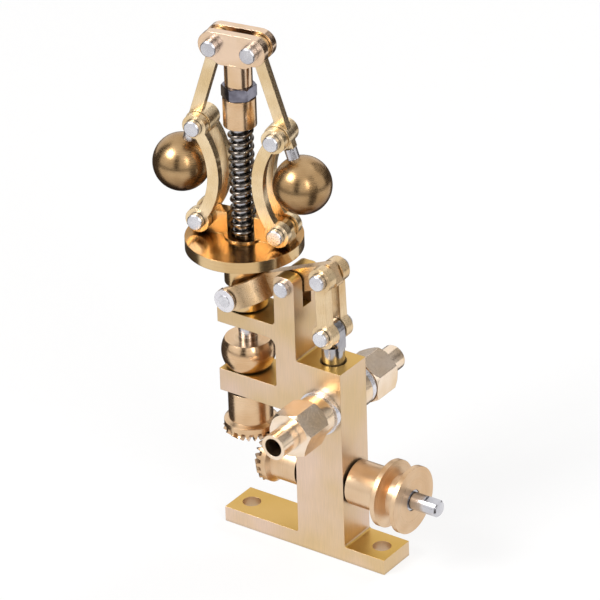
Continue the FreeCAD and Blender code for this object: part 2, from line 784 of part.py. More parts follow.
# Lock nut: a chamfered hexagon.
nut = new_body("lock_nut")
nut_radius = d.nut_flats / math.sqrt(3)
nut_view = new_sketch(nut, "XZ_Plane")
outline(nut_view, [
    (neck_radius, collar_top),
    (nut_radius - d.nut_chamfer, collar_top),
    (nut_radius, collar_top + d.nut_chamfer * slant),
    (nut_radius, stem_bottom - d.nut_chamfer * slant),
    (nut_radius - d.nut_chamfer, stem_bottom),
    (neck_radius, stem_bottom),
])
turn(nut, nut_view, "V_Axis")
nut_flats = new_sketch(nut, "XY_Plane", stem_bottom)
circle(nut_flats, 0, 0, nut_radius * 1.2)
nut_corners = []
for step in range(6):
    angle = math.radians(60 * step + 23)
    nut_corners.append((nut_radius * math.cos(angle), nut_radius * math.sin(angle)))
outline(nut_flats, nut_corners)
pocket(nut, nut_flats, d.nut_thickness)
place_on_head(nut)

# Crosshead: a stem that widens into two cheeks with round ends, and a slot between
# them for the arms.
crosshead = new_body("crosshead")
arm_pin_height = stem_top + d.crosshead_pin_rise
cheek_bottom = arm_pin_height - d.crosshead_radius
slot_floor = stem_top + d.crosshead_floor
stem_view = new_sketch(crosshead, "XY_Plane", stem_bottom)
circle(stem_view, 0, 0, d.stem_diameter / 2)
pad(crosshead, stem_view, slot_floor - stem_bottom)
cheek_view = new_sketch(crosshead, "XZ_Plane")
outline(cheek_view, [
    (-d.crosshead_pin_offset, cheek_bottom),
    (-d.stem_diameter / 2, stem_top),
    (d.stem_diameter / 2, stem_top),
    (d.crosshead_pin_offset, cheek_bottom),
    (d.crosshead_pin_offset, arm_pin_height + d.crosshead_radius),
    (-d.crosshead_pin_offset, arm_pin_height + d.crosshead_radius),
])
pad(crosshead, cheek_view, d.crosshead_depth, both_ways=True)
for side in (-1, 1):
    cheek_end = new_sketch(crosshead, "XZ_Plane")
    circle(cheek_end, side * d.crosshead_pin_offset, arm_pin_height, d.crosshead_radius)
    pad(crosshead, cheek_end, d.crosshead_depth, both_ways=True)
cheek_gap = new_sketch(crosshead, "XY_Plane", arm_pin_height + d.crosshead_radius)
gap_half = d.arm_thickness / 2 + d.side_clearance
gap_reach = d.crosshead_pin_offset + d.crosshead_radius + 1
box_outline(cheek_gap, -gap_reach, gap_reach, -gap_half, gap_half)
pocket(crosshead, cheek_gap, arm_pin_height + d.crosshead_radius - slot_floor)
stem_bore = new_sketch(crosshead, "XY_Plane", stem_bottom)
circle(stem_bore, 0, 0, neck_radius)
pocket(crosshead, stem_bore, d.spindle_thread_depth, backwards=True)
pin_holes = new_sketch(crosshead, "XZ_Plane")
for side in (-1, 1):
    circle(pin_holes, side * d.crosshead_pin_offset, arm_pin_height, pin_radius)
pocket(crosshead, pin_holes, both_ways=True)
place_on_head(crosshead)

# Sleeve: a grooved neck for the yoke, a disc, and a lug on each side for the links.
sleeve = new_body("sleeve")
yoke_pin_height = d.lever_pivot_height - d.lever_long_arm * sine(d.lever_tilt)
groove_half = d.yoke_pin_diameter / 2 + d.groove_side_gap
groove_bottom = yoke_pin_height - groove_half
groove_top = yoke_pin_height + groove_half
disc_top = d.sleeve_disc_bottom + d.sleeve_disc_thickness
step_top = disc_top + d.sleeve_step_height
sleeve_bore = neck_radius + d.running_clearance
sleeve_view = new_sketch(sleeve, "XZ_Plane")
outline(sleeve_view, [
    (sleeve_bore, d.upper_bracket_top + d.end_clearance),
    (d.sleeve_neck_diameter / 2, d.upper_bracket_top + d.end_clearance),
    (d.sleeve_neck_diameter / 2, groove_bottom),
    (d.groove_root_diameter / 2, groove_bottom),
    (d.groove_root_diameter / 2, groove_top),
    (d.sleeve_neck_diameter / 2, groove_top),
    (d.sleeve_neck_diameter / 2, d.sleeve_disc_bottom),
    (d.sleeve_disc_diameter / 2, d.sleeve_disc_bottom),
    (d.sleeve_disc_diameter / 2, disc_top),
    (d.sleeve_step_diameter / 2, disc_top),
    (d.sleeve_step_diameter / 2, step_top),
    (sleeve_bore, step_top),
])
turn(sleeve, sleeve_view, "V_Axis")
lug_top = d.sleeve_pin_height + d.lug_eye_radius
lug_root = disc_top - d.sleeve_disc_thickness / 2
for side in (-1, 1):
    lug_view = new_sketch(sleeve, "XZ_Plane")
    outline(lug_view, [
        (side * d.lug_inner_radius, lug_root),
        (side * (d.sleeve_pin_radius + d.lug_eye_radius), lug_root),
        (side * (d.sleeve_pin_radius + d.lug_eye_radius), d.sleeve_pin_height),
        (side * d.sleeve_pin_radius, d.sleeve_pin_height),
        (side * d.sleeve_pin_radius, lug_top),
        (side * d.lug_inner_radius, lug_top),
    ])
    pad(sleeve, lug_view, d.lug_thickness, both_ways=True)
    lug_end = new_sketch(sleeve, "XZ_Plane")
    circle(lug_end, side * d.sleeve_pin_radius, d.sleeve_pin_height, d.lug_eye_radius)
    pad(sleeve, lug_end, d.lug_thickness, both_ways=True)
lug_holes = new_sketch(sleeve, "XZ_Plane")
for side in (-1, 1):
    circle(lug_holes, side * d.sleeve_pin_radius, d.sleeve_pin_height, shank_radius)
pocket(sleeve, lug_holes, both_ways=True)
place_on_head(sleeve)

# Spring: a coil of round wire with both ends ground flat.
spring_bottom = step_top
spring_height = d.spring_collar_bottom - spring_bottom
spring_mean = (d.spring_diameter - d.spring_wire) / 2
coil = doc.addObject("Part::Helix", "spring_line")
coil.setExpression("Pitch", (spring_height / d.spring_turns).text)
coil.setExpression("Height", (spring_height + d.spring_wire).text)
coil.setExpression("Radius", spring_mean.text)
coil.setExpression("Placement.Base.z", (spring_bottom - d.spring_wire / 2).text)
wire = doc.addObject("Part::Circle", "spring_wire_section")
wire.setExpression("Radius", (d.spring_wire / 2).text)
wire.Placement = FreeCAD.Placement(FreeCAD.Vector(), FreeCAD.Rotation(FreeCAD.Vector(1, 0, 0), 90))
wire.setExpression("Placement.Base.x", spring_mean.text)
wire.setExpression("Placement.Base.z", (spring_bottom - d.spring_wire / 2).text)
doc.recompute()
coiled = doc.addObject("Part::Sweep", "spring_coil")
coiled.Sections = [wire]
coiled.Spine = (coil, [])
coiled.Solid = True
coiled.Frenet = True
spring_room = doc.addObject("Part::Cylinder", "spring_room")
spring_room.setExpression("Radius", (d.spring_diameter * 0.8).text)
spring_room.setExpression("Height", spring_height.text)
spring_room.setExpression("Placement.Base.z", spring_bottom.text)
spring = doc.addObject("Part::Common", "governor_spring")
spring.Base = coiled
spring.Tool = spring_room
nodes.append(spring)
place_on_head(spring)

# Arm pins in the crosshead and headed pins in the sleeve's lugs, both along the
# head's own Y.
arm_x = d.crosshead_pin_offset
lean_sine, lean_cosine = sine(d.arm_lean), cosine(d.arm_lean)


def along_arm(distance, inset=0):
    """A point of the right arm: distance down its middle line, inset to the spindle."""
    x = arm_x + distance * lean_sine - inset * lean_cosine
    z = arm_pin_height - distance * lean_cosine - inset * lean_sine
    return x, z


joint_x, joint_z = along_arm(d.arm_joint_along, d.arm_joint_inset)
ball_x, ball_z = along_arm(d.ball_distance)
link_inner = d.lug_thickness / 2 + d.side_clearance
link_outer = link_inner + d.link_thickness
chord_x = d.sleeve_pin_radius - joint_x
chord_z = d.sleeve_pin_height - joint_z
chord = root(chord_x * chord_x + chord_z * chord_z)
bow_radius = (chord * chord / 4 + d.link_bow * d.link_bow) / (2 * d.link_bow)
bow_reach = (bow_radius - d.link_bow) / chord
bow_x = (joint_x + d.sleeve_pin_radius) / 2 - chord_z * bow_reach
bow_z = (joint_z + d.sleeve_pin_height) / 2 + chord_x * bow_reach

for name, left in (("left", True), ("right", False)):
    place_on_head(pin(f"{name}_arm_pin", arm_x, arm_pin_height, d.head_pin_length), left)

    # Arm: a straight bar from its pin to the ball, with a boss on its inner side.
    arm = new_body(f"{name}_arm")
    half = d.arm_width / 2
    bar = new_sketch(arm, "XZ_Plane")
    outline(bar, [
        along_arm(size(0), half),
        along_arm(d.arm_length, half),
        along_arm(d.arm_length, -half),
        along_arm(size(0), -half),
    ])
    pad(arm, bar, d.arm_thickness, both_ways=True)
    eye = new_sketch(arm, "XZ_Plane")
    circle(eye, arm_x, arm_pin_height, d.arm_eye_radius)
    pad(arm, eye, d.arm_thickness, both_ways=True)
    boss = new_sketch(arm, "XZ_Plane")
    circle(boss, joint_x, joint_z, d.arm_boss_radius)
    pad(arm, boss, d.lug_thickness, both_ways=True)
    arm_holes = new_sketch(arm, "XZ_Plane")
    circle(arm_holes, arm_x, arm_pin_height, running_radius)
    circle(arm_holes, joint_x, joint_z, pin_radius)
    pocket(arm, arm_holes, both_ways=True)
    place_on_head(arm, left)
    place_on_head(pin(f"{name}_link_pin", joint_x, joint_z, d.head_pin_length), left)

    # Steel stud from the end of the bar into the ball.
    turned = 180 if left else 0
    stud = doc.addObject("Part::Cylinder", f"{name}_stud")
    ball_gap = d.ball_distance - d.ball_diameter / 2 + d.stud_depth - d.arm_length
    end_x, end_z = along_arm(d.arm_length)
    stud_depth_end = d.ball_diameter / 2 - d.stud_depth
    stud.setExpression("Radius", (d.stud_diameter / 2).text)
    stud.setExpression("Height", ball_gap.text)
    ball = doc.addObject("Part::Sphere", f"{name}_ball_blank")
    ball.setExpression("Radius", (d.ball_diameter / 2).text)
    stud_hole = doc.addObject("Part::Cylinder", f"{name}_stud_hole")
    stud_hole.setExpression("Radius", (d.stud_diameter / 2).text)
    stud_hole.setExpression("Height", (d.stud_depth * 2).text)
    stud_hole.setExpression("Placement.Base.z", stud_depth_end.text)
    drilled = doc.addObject("Part::Cut", f"{name}_ball")
    drilled.Base = ball
    drilled.Tool = stud_hole
    nodes.extend([stud, drilled])
    sign = -1 if left else 1
    lean = FreeCAD.Rotation(FreeCAD.Vector(0, 1, 0), -sign * d.arm_lean.value)
    upright = FreeCAD.Rotation(FreeCAD.Vector(0, 0, 1), d.head_turn.value)
    for piece, x, z in ((stud, *along_arm(d.ball_distance - stud_depth_end)), (drilled, ball_x, ball_z)):
        piece.Placement = FreeCAD.Placement(FreeCAD.Vector(), upright * lean)
        piece.setExpression("Placement.Base.x", (sign * x * cosine(d.head_turn) - d.spindle_offset).text)
        piece.setExpression("Placement.Base.y", (sign * x * sine(d.head_turn)).text)
        piece.setExpression("Placement.Base.z", size(z).text)

    # Curved links, one each side of the lug, from the arm's boss to the sleeve.
    for face, outwards in (("front", 1), ("rear", -1)):
        link = new_body(f"{name}_{face}_link")
        near = outwards * (-1 if left else 1)
        start = near * link_inner
        back = near < 0
        corners = []
        for radius in (bow_radius - d.link_width / 2, bow_radius + d.link_width / 2):
            corners.append([
                (bow_x + (x - bow_x) * (radius / bow_radius), bow_z + (z - bow_z) * (radius / bow_radius))
                for x, z in ((joint_x, joint_z), (d.sleeve_pin_radius, d.sleeve_pin_height))
            ])
        bow = new_sketch(link, "XZ_Plane", start)
        arcs = []
        for radius, ends in zip((bow_radius - d.link_width / 2, bow_radius + d.link_width / 2), corners):
            centre = FreeCAD.Vector(bow_x.value, bow_z.value, 0)
            angles = [math.atan2(z.value - bow_z.value, x.value - bow_x.value) % (2 * math.pi) for x, z in ends]
            round_line = Part.Circle(centre, FreeCAD.Vector(0, 0, 1), radius.value)
            arc = bow.addGeometry(Part.ArcOfCircle(round_line, angles[0], angles[1]), False)
            bind(bow, "Radius", (arc,), radius)
            bind(bow, "DistanceX", (-1, 1, arc, 3), bow_x)
            bind(bow, "DistanceY", (-1, 1, arc, 3), bow_z)
            bind(bow, "DistanceY", (-1, 1, arc, 1), ends[0][1])
            bind(bow, "DistanceY", (-1, 1, arc, 2), ends[1][1])
            arcs.append(arc)
        for end in (1, 2):
            tips = [bow.getPoint(arc, end) for arc in arcs]
            line = bow.addGeometry(Part.LineSegment(*tips), False)
            bow.addConstraint(Sketcher.Constraint("Coincident", line, 1, arcs[0], end))
            bow.addConstraint(Sketcher.Constraint("Coincident", line, 2, arcs[1], end))
        pad(link, bow, d.link_thickness, backwards=back)
        for x, z in ((joint_x, joint_z), (d.sleeve_pin_radius, d.sleeve_pin_height)):
            eye = new_sketch(link, "XZ_Plane", start)
            circle(eye, x, z, d.link_eye_radius)
            pad(link, eye, d.link_thickness, backwards=back)
        link_holes = new_sketch(link, "XZ_Plane")
        circle(link_holes, joint_x, joint_z, running_radius)
        circle(
            link_holes, d.sleeve_pin_radius, d.sleeve_pin_height,
            shank_radius + d.link_clearance)
        pocket(link, link_holes, both_ways=True)
        place_on_head(link, left)

    place_on_head(pin(
        f"{name}_sleeve_pin", d.sleeve_pin_radius, d.sleeve_pin_height, d.head_pin_length,
        head_grip=2 * (link_outer + d.side_clearance)), left)

# Lever: drawn level about its pivot, with an open yoke round the sleeve's groove at
# its left end, then tilted to its rest angle.
lever = new_body("lever")
yoke_x = -d.lever_long_arm
yoke_side = new_sketch(lever, "XZ_Plane")
box_outline(
    yoke_side, yoke_x, yoke_x + d.yoke_outer_radius + 1,
    -d.lever_height / 2, d.lever_height / 2)
pad(lever, yoke_side, d.yoke_outer_radius * 2, both_ways=True)
yoke_end = new_sketch(lever, "XZ_Plane")
circle(yoke_end, yoke_x, 0, d.lever_height / 2)
pad(lever, yoke_end, d.yoke_outer_radius * 2, both_ways=True)
yoke_hollow = new_sketch(lever, "XY_Plane")
circle(yoke_hollow, yoke_x, 0, d.yoke_inner_radius)
pocket(lever, yoke_hollow, both_ways=True)
yoke_round = new_sketch(lever, "XY_Plane")
circle(yoke_round, yoke_x, 0, d.yoke_outer_radius)
circle(yoke_round, yoke_x, 0, d.yoke_outer_radius * 2)
pocket(lever, yoke_round, both_ways=True)
blade = new_sketch(lever, "XZ_Plane")
blade_start = yoke_x + (d.yoke_outer_radius + d.yoke_inner_radius) / 2
blade_end = d.lever_short_arm + d.lever_end
box_outline(blade, blade_start, blade_end, -d.lever_height / 2, d.lever_height / 2)
pad(lever, blade, d.lever_thickness, both_ways=True)
dress(lever, "Fillet", any_of(
    on_line(blade_end, d.lever_height / 2),
    on_line(blade_end, -d.lever_height / 2),
), d.lever_end_fillet)
lever_holes = new_sketch(lever, "XZ_Plane")
circle(lever_holes, 0, 0, running_radius)
circle(lever_holes, d.lever_short_arm, 0, pin_radius)
circle(lever_holes, yoke_x, 0, d.yoke_pin_diameter / 2)
circle(lever_holes, yoke_x, d.oil_hole_rise + d.oil_hole_diameter / 2, d.oil_hole_diameter / 2)
pocket(lever, lever_holes, both_ways=True)


def place_on_lever(piece):
    place(
        piece, x=column_centre, z=d.lever_pivot_height, axis=(0, -1, 0), angle=d.lever_tilt)


place_on_lever(lever)
place_on_lever(pin("lever_link_pin", d.lever_short_arm, 0, d.drop_pin_length))
yoke_pin_inner = d.groove_root_diameter / 2 + d.yoke_pin_tip_gap
yoke_pin_outer = d.yoke_outer_radius + d.yoke_pin_stand
for name, side in (("front", 1), ("rear", -1)):
    yoke_pin = new_body(f"{name}_yoke_pin")
    yoke_pin_view = new_sketch(yoke_pin, "XZ_Plane", side * yoke_pin_inner)
    circle(yoke_pin_view, yoke_x, 0, d.yoke_pin_diameter / 2)
    pad(yoke_pin, yoke_pin_view, yoke_pin_outer - yoke_pin_inner, backwards=side < 0)
    place_on_lever(yoke_pin)
    yoke_washer = new_body(f"{name}_yoke_washer")
    washer_view = new_sketch(yoke_washer, "XZ_Plane", side * d.yoke_outer_radius)
    circle(washer_view, yoke_x, 0, d.yoke_pin_diameter / 2)
    circle(washer_view, yoke_x, 0, d.yoke_washer_diameter / 2)
    pad(yoke_washer, washer_view, d.yoke_washer_thickness, backwards=side < 0)
    place_on_lever(yoke_washer)

# Drop links from the lever to the valve plunger.
top_x = column_centre + d.lever_short_arm * cosine(d.lever_tilt)
top_z = d.lever_pivot_height + d.lever_short_arm * sine(d.lever_tilt)
low_x = d.valve_offset
low_z = top_z - d.drop_link_drop
drop_x = low_x - top_x
drop_length = root(drop_x * drop_x + d.drop_link_drop * d.drop_link_drop)
half_x = d.drop_link_width / 2 * d.drop_link_drop / drop_length
half_z = d.drop_link_width / 2 * drop_x / drop_length
drop_inner = d.lever_thickness / 2 + d.side_clearance
for name, side in (("front", 1), ("rear", -1)):
    link = new_body(f"{name}_drop_link")
    strip = new_sketch(link, "XZ_Plane", side * drop_inner)
    outline(strip, [
        (top_x - half_x, top_z - half_z),
        (low_x - half_x, low_z - half_z),
        (low_x + half_x, low_z + half_z),
        (top_x + half_x, top_z + half_z),
    ])
    pad(link, strip, d.drop_link_thickness, backwards=side < 0)
    for x, z in ((top_x, top_z), (low_x, low_z)):
        eye = new_sketch(link, "XZ_Plane", side * drop_inner)
        circle(eye, x, z, d.link_eye_radius)
        pad(link, eye, d.drop_link_thickness, backwards=side < 0)
    holes = new_sketch(link, "XZ_Plane")
    circle(holes, top_x, top_z, running_radius)
    circle(holes, low_x, low_z, shank_radius + d.link_clearance)
    pocket(link, holes, both_ways=True)

# Valve plunger: a round rod with a flat tongue between the drop links.
plunger = new_body("valve_plunger")
plunger_radius = d.plunger_diameter / 2
plunger_shoulder = low_z - d.link_eye_radius - d.plunger_shoulder_gap
rod = new_sketch(plunger, "XY_Plane", d.plunger_foot)
circle(rod, d.valve_offset, 0, plunger_radius)
pad(plunger, rod, plunger_shoulder - d.plunger_foot)
tongue = new_sketch(plunger, "XZ_Plane")
box_outline(
    tongue, d.valve_offset - plunger_radius, d.valve_offset + plunger_radius,
    plunger_shoulder - 0.5, low_z)
pad(plunger, tongue, d.plunger_tongue, both_ways=True)
tongue_end = new_sketch(plunger, "XZ_Plane")
circle(tongue_end, d.valve_offset, low_z, plunger_radius)
pad(plunger, tongue_end, d.plunger_tongue, both_ways=True)
tongue_hole = new_sketch(plunger, "XZ_Plane")
circle(tongue_hole, d.valve_offset, low_z, shank_radius)
pocket(plunger, tongue_hole, both_ways=True)
drop_outer = drop_inner + d.drop_link_thickness
pin("plunger_pin", low_x, low_z, d.drop_pin_length, head_grip=2 * (drop_outer + d.side_clearance))

doc.recompute()

faults = []
for item in doc.Objects:
    if "Invalid" in item.State or "Error" in item.State:
        faults.append(f"{item.Name}: {item.State}")
for node in nodes:
    shape = node.Shape
    if shape.isNull() or not shape.isValid() or len(shape.Solids) != 1:
        faults.append(f"{node.Label}: not one valid solid")
if faults:
    raise RuntimeError("; ".join(faults))

os.makedirs("parts", exist_ok=True)
for node in nodes:
    node.Shape.exportStep(f"parts/{node.Label}.step")
print(f"{len(nodes)} pieces")
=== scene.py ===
import bpy
import math
from mathutils import Matrix, Vector


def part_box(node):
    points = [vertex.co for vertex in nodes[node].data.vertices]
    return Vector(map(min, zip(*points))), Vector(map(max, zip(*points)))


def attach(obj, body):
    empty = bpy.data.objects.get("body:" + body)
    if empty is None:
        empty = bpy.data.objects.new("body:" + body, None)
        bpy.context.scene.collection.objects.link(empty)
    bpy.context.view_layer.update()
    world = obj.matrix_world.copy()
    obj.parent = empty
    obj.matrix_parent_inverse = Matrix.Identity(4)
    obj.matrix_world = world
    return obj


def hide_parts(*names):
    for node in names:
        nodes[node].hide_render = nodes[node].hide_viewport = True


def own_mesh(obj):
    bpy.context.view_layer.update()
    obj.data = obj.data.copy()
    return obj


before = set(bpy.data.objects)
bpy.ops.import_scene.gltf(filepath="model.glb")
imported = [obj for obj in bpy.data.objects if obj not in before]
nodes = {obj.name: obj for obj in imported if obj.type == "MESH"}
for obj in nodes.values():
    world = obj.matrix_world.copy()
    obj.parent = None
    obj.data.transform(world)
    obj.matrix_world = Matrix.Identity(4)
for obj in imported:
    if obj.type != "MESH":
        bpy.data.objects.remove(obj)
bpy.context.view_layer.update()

# Frame: foot, valve block, column and two bearing arms, sawn and milled in one piece
# from thick brass plate. The upright faces are lapped to an even fine line, and the milled
# upper faces carry a painted tone, yellower and a little darker, for the light they catch.
# It is held by two bolts through the foot.


def linear(code):
    """An sRGB hex colour as the linear colour that a shader reads."""
    parts = [int(code[i:i + 2], 16) / 255 for i in (1, 3, 5)]
    return [c / 12.92 if c <= 0.04045 else ((c + 0.055) / 1.055) ** 2.4 for c in parts] + [1.0]


def add(tree, kind, settings=None, **sockets):
    """One node with its settings. An input is named, or at_0, at_1 and so on by its place."""
    node = tree.nodes.new(kind)
    for key, value in (settings or {}).items():
        setattr(node, key, value)
    for name, value in sockets.items():
        place = name.replace("at_", "")
        socket = node.inputs[int(place)] if place.isdigit() else node.inputs[name.replace("_", " ")]
        if isinstance(value, bpy.types.NodeSocket):
            tree.links.new(value, socket)
        else:
            socket.default_value = value
    return node


def metal(name, light, dark, smooth, coarse, grain, patch, bump, edge=0.12, lathe=None, line=0.88):
    """A worked metal, with its tool lines, stains, worn edges and painted shade in its inner
    corners.

    light and dark are its two tints, which change over patch mm.
    smooth and coarse are its least and most roughness, and bump is how deep its lines cut.
    grain is the spacing of the lines in mm along x, y and z. With lathe, a node's name and
    the axis it was turned on, it is the spacing outward and along, and the lines are rings.
    edge is the wear on its corners in mm, and line the shade at the bottom of a line.
    """
    material = bpy.data.materials.new(name)
    material.use_nodes = True
    tree = material.node_tree
    shader = tree.nodes["Principled BSDF"]
    shader.inputs["Metallic"].default_value = 1.0
    place = add(tree, "ShaderNodeTexCoord").outputs["Object"]
    along = place
    if lathe:
        turned_piece, axis = lathe
        low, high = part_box(turned_piece)
        from_axis = add(
            tree, "ShaderNodeVectorMath", {"operation": "SUBTRACT"},
            at_0=place, at_1=(low + high) / 2)
        outward = add(
            tree, "ShaderNodeVectorMath", {"operation": "MULTIPLY"},
            at_0=from_axis.outputs[0], at_1=[0.0 if letter == axis else 1.0 for letter in "XYZ"])
        radius = add(
            tree, "ShaderNodeVectorMath", {"operation": "LENGTH"}, at_0=outward.outputs[0])
        lengthways = add(tree, "ShaderNodeSeparateXYZ", Vector=from_axis.outputs[0])
        along = add(
            tree, "ShaderNodeCombineXYZ",
            X=radius.outputs["Value"], Y=lengthways.outputs[axis]).outputs[0]

    # Two tints in soft patches, crossed by the tool lines.
    lined = add(tree, "ShaderNodeMapping", Vector=along, Scale=[1000 / g for g in grain])
    lines = add(tree, "ShaderNodeTexNoise", Vector=lined.outputs[0], Scale=1.0, Detail=3.0)
    patches = add(tree, "ShaderNodeTexNoise", Vector=place, Scale=1000 / patch, Detail=2.0)
    spread = add(
        tree, "ShaderNodeMapRange", Value=patches.outputs["Fac"],
        From_Min=0.35, From_Max=0.65, To_Min=0.0, To_Max=1.0)
    tint = add(
        tree, "ShaderNodeMixRGB", Fac=spread.outputs[0], Color1=linear(light), Color2=linear(dark))
    streak = add(
        tree, "ShaderNodeMapRange", Value=lines.outputs["Fac"],
        From_Min=0.3, From_Max=0.7, To_Min=line, To_Max=1.0)
    streaked = add(
        tree, "ShaderNodeMixRGB", {"blend_type": "MULTIPLY"}, Fac=1.0,
        Color1=tint.outputs[0], Color2=streak.outputs[0])

    # Painted shade: ambient occlusion darkens the inner corners within about a millimetre and a
    # half.
    corner = add(tree, "ShaderNodeAmbientOcclusion", {"samples": 4}, Distance=0.0015)
    painted_corner_shade = add(
        tree, "ShaderNodeMapRange", Value=corner.outputs["AO"],
        From_Min=0.15, From_Max=0.75, To_Min=0.42, To_Max=1.0)
    corner_shaded = add(
        tree, "ShaderNodeMixRGB", {"blend_type": "MULTIPLY"}, Fac=1.0,
        Color1=streaked.outputs[0], Color2=painted_corner_shade.outputs[0])

    # The lines also scatter the shine and cut 0.02 mm deep at full bump.
    scatter = add(
        tree, "ShaderNodeMapRange", Value=lines.outputs["Fac"],
        From_Min=0.3, From_Max=0.7, To_Min=smooth, To_Max=coarse)
    rounded = add(tree, "ShaderNodeBevel", {"samples": 4}, Radius=edge / 1000)
    relief = add(
        tree, "ShaderNodeBump", Height=lines.outputs["Fac"], Strength=bump,
        Distance=0.00002, Normal=rounded.outputs[0])
    tree.links.new(corner_shaded.outputs[0], shader.inputs["Base Color"])
    tree.links.new(scatter.outputs[0], shader.inputs["Roughness"])
    tree.links.new(relief.outputs[0], shader.inputs["Normal"])
    return material


def painted_facing_tone(material, code, start, end):
    """The metal with a painted light-and-shade tone by facing, from none where its normal's z is
    start to all where it is end.
    """
    tree = material.node_tree
    shader = tree.nodes["Principled BSDF"]
    faces = add(tree, "ShaderNodeNewGeometry")
    looks = add(tree, "ShaderNodeSeparateXYZ", Vector=faces.outputs["Normal"])
    share = add(
        tree, "ShaderNodeMapRange", Value=looks.outputs["Z"],
        From_Min=start, From_Max=end, To_Min=0.0, To_Max=1.0)
    untoned = shader.inputs["Base Color"].links[0].from_socket
    under = add(
        tree, "ShaderNodeMixRGB", {"blend_type": "MULTIPLY"}, Fac=share.outputs[0],
        Color1=untoned, Color2=linear(code))
    tree.links.new(under.outputs[0], shader.inputs["Base Color"])
    return material


def dress(material, *names):
    """Gives the CAD nodes of these names the material."""
    for name in names:
        mesh = nodes[name].data
        mesh.materials.clear()
        mesh.materials.append(material)


dress(painted_facing_tone(metal(
    "lapped_brass", "#e8cdb7", "#dfc296", 0.30, 0.46, (0.12, 0.12, 3.0), 13.0, 0.35),
    "#f4e296", 0.4, 0.8), "frame")

# Drive shaft: ground steel rod with a flat on its free end for a crank or coupling. It
# runs in the lower bearing, with a thrust washer of hardened dark steel on either side.
dress(metal(
    "ground_shaft", "#dcdbdf", "#c9c8ce", 0.16, 0.28, (0.10, 0.10, 1.0), 3.0, 0.2,
    edge=0.08, lathe=("drive_shaft", "X")), "drive_shaft")
dress(metal(
    "hardened_steel", "#5d5853", "#4a4542", 0.18, 0.30, (0.2, 0.2, 0.2), 2.0, 0.2,
    edge=0.05), "inner_thrust_washer", "outer_thrust_washer")

# Belt pulley and the bevel gear at the shaft's other end: turned from brass bar, faced
# and left with fine rings, and pressed on the drive shaft.
for name in ("belt_pulley", "drive_gear"):
    dress(metal(
        name + "_turned_brass", "#e8caa8", "#dab68e", 0.26, 0.42, (0.10, 0.10, 1.0), 6.0, 0.3,
        lathe=("drive_shaft", "X")), name)

# Spindle: a ground steel rod through the upper bearing. Its bevel gear, the round collar
# that carries it and the collar over the spring are turned from brass bar.
dress(metal(
    "ground_spindle", "#d3d2d6", "#c3c2c8", 0.18, 0.3, (0.10, 0.10, 1.0), 3.0, 0.2,
    edge=0.08, lathe=("spindle", "Z")), "spindle")
dress(metal(
    "spindle_turned_brass", "#e8c8a4", "#dab48a", 0.16, 0.30, (0.10, 0.10, 1.0), 6.0, 0.2,
    lathe=("spindle", "Z"), line=0.9), "spindle_gear", "barrel_collar", "spring_collar")

# Spring: oiled spring wire wound close round the spindle, standing on the sleeve's step
# under the brass collar. It is coiled cold.
spring_wire = metal(
    "oiled_spring_wire", "#8c847c", "#645c56", 0.12, 0.24, (0.3, 0.3, 0.3), 2.0, 0.15,
    edge=0.05)
bpy.ops.object.select_all(action="DESELECT")
coil = bpy.data.objects.new("coil_spring", nodes["governor_spring"].data.copy())
bpy.context.collection.objects.link(coil)
bpy.context.view_layer.objects.active = coil
coil.select_set(True)
bpy.ops.object.mode_set(mode="EDIT")
bpy.ops.mesh.select_all(action="SELECT")
bpy.ops.mesh.remove_doubles(threshold=0.000002)
bpy.ops.object.mode_set(mode="OBJECT")
bpy.ops.object.shade_smooth_by_angle(angle=math.radians(35))
coil.data.materials.clear()
coil.data.materials.append(spring_wire)
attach(coil, "spindle_head")
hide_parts("governor_spring")
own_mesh(coil)

# Lock nut: small hexagon nut of plated steel, dark on its flats and bright on its worn
# edges, that sets the spring collar's height.
dress(metal(
    "plated_nut", "#8b8995", "#65636e", 0.05, 0.10, (0.4, 0.4, 0.4), 2.0, 0.12,
    edge=0.2, line=0.94), "lock_nut")

# Crosshead: the two-forked head that the ball arms hang from, milled from brass bar with
# a turned neck, and polished brighter than the rest.
dress(metal(
    "polished_head_brass", "#f0d3b8", "#e2bf98", 0.14, 0.26, (0.10, 0.10, 1.0), 6.0, 0.2,
    lathe=("crosshead", "Z"), line=0.92), "crosshead")

# Sleeve: the flanged piece that slides on the spindle, turned from brass, with two
# lugs milled above its disc. The top of the disc is darkened by painted shade.
dress(painted_facing_tone(metal(
    "sleeve_turned_brass", "#e2c496", "#d4b280", 0.14, 0.26, (0.10, 0.10, 1.0), 6.0, 0.2,
    lathe=("spindle", "Z")), "#d4bd9a", 0.5, 0.9), "sleeve")

# Ball arms and the curved links under them: filed from brass strip, with line marks
# lengthways, and joined by the steel pins.
dress(metal(
    "filed_brass_strip", "#fbe2ba", "#eacc9c", 0.22, 0.36, (0.12, 0.12, 2.5), 5.0, 0.35),
    "left_arm", "right_arm", "left_front_link", "left_rear_link", "right_front_link",
    "right_rear_link")

# Balls: the two fly weights, turned from brass, satin, with painted shade making them
# browner underneath.
for name in ("left_ball", "right_ball"):
    dress(painted_facing_tone(metal(
        name + "_brass", "#bd9c72", "#a5835a", 0.22, 0.32, (0.12, 0.12, 1.0), 4.0, 0.12,
        lathe=(name, "Z"), line=0.94), "#8a6a50", -0.05, -0.75), name)

# Pins and studs: turned steel, pressed in or riveted over, with flat ends left slightly
# grained from facing.
dress(metal(
    "faced_steel", "#e6e5e9", "#d2d1d7", 0.22, 0.36, (0.25, 0.25, 0.25), 3.0, 0.3,
    edge=0.08),
    "lever_pivot_pin", "left_arm_pin", "right_arm_pin", "left_link_pin", "right_link_pin",
    "left_sleeve_pin", "right_sleeve_pin", "left_stud", "right_stud", "lever_link_pin",
    "front_yoke_pin", "rear_yoke_pin", "plunger_pin")

